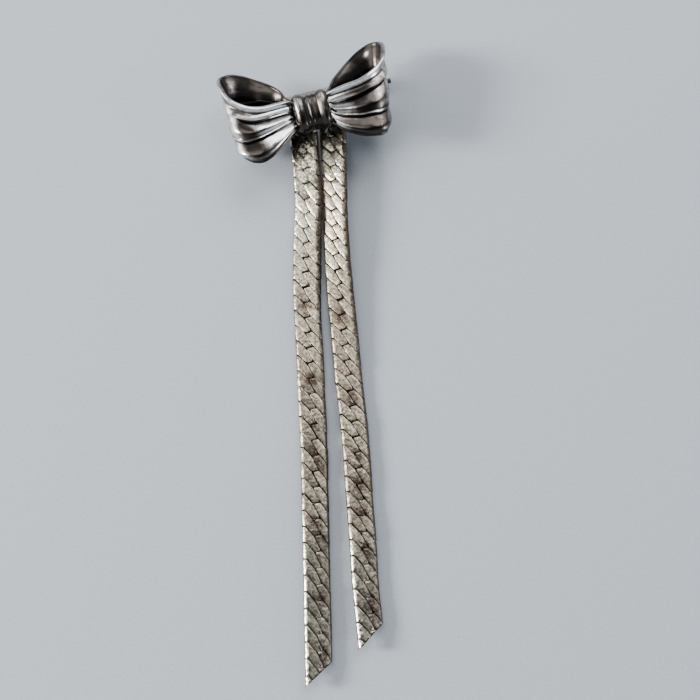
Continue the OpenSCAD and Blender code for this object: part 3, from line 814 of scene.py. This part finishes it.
def makeKnot():
    k = knotBand
    bm = bmesh.new()
    tarnishAndShade = bm.verts.layers.float.new("tarnishAndShade")
    addWearLayers(bm)
    rings = []
    for i in range(k["turns"]):
        angle = 2 * math.pi * i / k["turns"]
        c, s = math.cos(angle), math.sin(angle)
        power = 2 / k["square"]
        size = (abs(c) ** power + abs(s) ** power) ** (-1 / power)
        at = Vector((k["height"] / 2 * size * c, k["depth"] / 2 * size * s))
        out = Vector((c * k["depth"], s * k["height"])).normalized()
        fade = mixed(k["fluteBack"], 1, ramp(s, (-k["fluteFront"], 1 - k["fluteFront"])))
        outer = []
        for place in evenly(k["acrossPoints"], 0, len(flutes) - 1):
            x, rise, dark = splineAt(flutes, place)
            outer.append((k["side"] + x * k["width"] / 2, rise * k["flute"] * fade, dark))
        inner = [(k["side"] + x * k["width"] / 2, -k["wall"], 1)
                 for x in evenly(k["innerPoints"], 1, -1)]
        ring = []
        for x, rise, dark in outer + inner:
            spot = at + out * rise
            # The band is darker toward its bottom
            low = ramp(spot.x / k["height"] * 2, k["lowSpan"])
            ring.append((bowPoint(x, spot.x, spot.y), dark + k["lowDarkening"] * low))
        rings.append(ring)
    rows = sweepRings(bm, [[p[0] for p in ring] for ring in rings], True)
    for row, ring in zip(rows, rings):
        for vert, point in zip(row, ring):
            vert[tarnishAndShade] = point[1]
    bandFaces = len(bm.faces)
    addLinks(bm, [leftFrames[0], rightFrames[0]])
    bm.faces.ensure_lookup_table()
    for face in bm.faces[bandFaces:]:
        face.material_index = 1
    # A drop of solder joins each top link to the back of the band
    bandBack = brooch["knotPlace"].z - k["depth"] / 2 + k["wall"] / 2
    for topLink, turn in ((leftFrames[0], 1), (rightFrames[0], -1)):
        rise = bandBack - topLink.translation.z - k["solderBase"]
        block = bmesh.ops.create_cube(bm, size=1)["verts"]
        bmesh.ops.scale(bm, vec=(k["solder"], k["solder"], rise), verts=block)
        bmesh.ops.translate(bm, vec=(turn * k["solderAcross"] * tails["width"] / 2,
                                     turn * k["solderAlong"] * tails["pitch"],
                                     k["solderBase"] + rise / 2), verts=block)
        bmesh.ops.transform(bm, matrix=topLink, verts=block)
    return finishPiece(bm, "fluted_knot", [bowSilver, chainSilver], "knot")


makeKnot()

# The pin keeps its construction shape and gets its metal
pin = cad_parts["pin_back"]
pin.data.materials.clear()
pin.data.materials.append(pinMetal)

# The floor: a board painted pale blue-grey, with fine specks of a darker grey in the paint
board = {"size": 2400, "colour": "#A9B0B9", "speck": "#9198A1", "speckSize": 0.4, "rough": 0.6}


def makeBoard():
    bm = bmesh.new()
    bmesh.ops.create_grid(bm, x_segments=1, y_segments=1, size=board["size"] / 2 * mm)
    mesh = bpy.data.meshes.new("board")
    bm.to_mesh(mesh)
    bm.free()
    material, tree, shader, place = startFinish("painted_board", 0)
    shader.inputs["Roughness"].default_value = board["rough"]
    speck = addNode(tree, "ShaderNodeTexNoise",
                    {"Vector": place, "Scale": perGrain(board["speckSize"]), "Detail": 4})
    colour = addNode(tree, "ShaderNodeMix", {0: speck.outputs["Fac"], 6: hexColour(board["colour"]),
                     7: hexColour(board["speck"])}, data_type="RGBA")
    tree.links.new(colour.outputs[2], shader.inputs["Base Color"])
    mesh.materials.append(material)
    floor = bpy.data.objects.new("board", mesh)
    bpy.context.scene.collection.objects.link(floor)


makeBoard()

# Camera: the photo's own angle, 15 degrees off straight down, from the tails' side
photo = {
    "middle": Vector((7.045, 0.511, 0)),
    "tilt": math.radians(15),
    "distance": 225,
    "focalPixels": 1500,
    "pixels": 700,
    "sensor": 36,
}
cameraData = bpy.data.cameras.new("camera")
cameraData.sensor_width = photo["sensor"]
cameraData.lens = photo["focalPixels"] / photo["pixels"] * photo["sensor"]
cameraData.clip_start = 0.01
camera = bpy.data.objects.new("camera", cameraData)
camera.location = (photo["middle"] + photo["distance"]
                   * Vector((0, -math.sin(photo["tilt"]), math.cos(photo["tilt"])))) * mm
camera.rotation_euler = (photo["tilt"], 0, 0)
bpy.context.scene.collection.objects.link(camera)
bpy.context.scene.camera = camera

# Soft light from a bright room: panels high at the back and behind, two big ones at the left,
# a small window low at the left that throws the shadow, and a slim panel at the right.
# Columns: name, place, size, watts, tint. Each faces the middle of the brooch
softBoxes = [
    ("back_panel", (400, 600, 760), (420, 680), 6, "#FFFFFF"),
    ("rear_panel", (-20, 720, 740), (440, 460), 3.2, "#FFFFFF"),
    ("left_panel", (-430, 210, 880), (500, 560), 3.5, "#FFFDF8"),
    ("side_panel", (-800, 350, 330), (600, 560), 4, "#FFFFFF"),
    ("left_window", (-900, -40, 385), (230, 230), 23, "#FFFDF8"),
    ("right_panel", (930, -250, 230), (220, 420), 3, "#FFFFFF"),
]
for name, place, size, watts, tint in softBoxes:
    lampData = bpy.data.lights.new(name, "AREA")
    lampData.shape = "RECTANGLE"
    lampData.size, lampData.size_y = size[0] * mm, size[1] * mm
    lampData.energy = watts
    lampData.color = hexColour(tint)[:3]
    lamp = bpy.data.objects.new(name, lampData)
    lamp.location = Vector(place) * mm
    lamp.rotation_euler = (Vector((0, 0, 0)) - lamp.location).to_track_quat("-Z", "Y").to_euler()
    bpy.context.scene.collection.objects.link(lamp)

# The room is pale near the horizon and dark overhead
room = {"horizon": "#C4CBD4", "overhead": "#383A3E", "strength": 1.25, "fade": (0.35, 0.85)}
world = bpy.data.worlds.new("room")
world.use_nodes = True
sky = world.node_tree
direction = addNode(sky, "ShaderNodeTexCoord", {}).outputs["Generated"]
height = addNode(sky, "ShaderNodeSeparateXYZ", {"Vector": direction}).outputs["Z"]
fade = addNode(sky, "ShaderNodeMapRange", {"Value": height, "From Min": room["fade"][0],
               "From Max": room["fade"][1]}, interpolation_type="SMOOTHSTEP")
shade = addNode(sky, "ShaderNodeMix", {0: fade.outputs["Result"], 6: hexColour(room["horizon"]),
                7: hexColour(room["overhead"])}, data_type="RGBA")
sky.links.new(shade.outputs[2], sky.nodes["Background"].inputs["Color"])
sky.nodes["Background"].inputs["Strength"].default_value = room["strength"]
bpy.context.scene.world = world
print("camera and lights set")
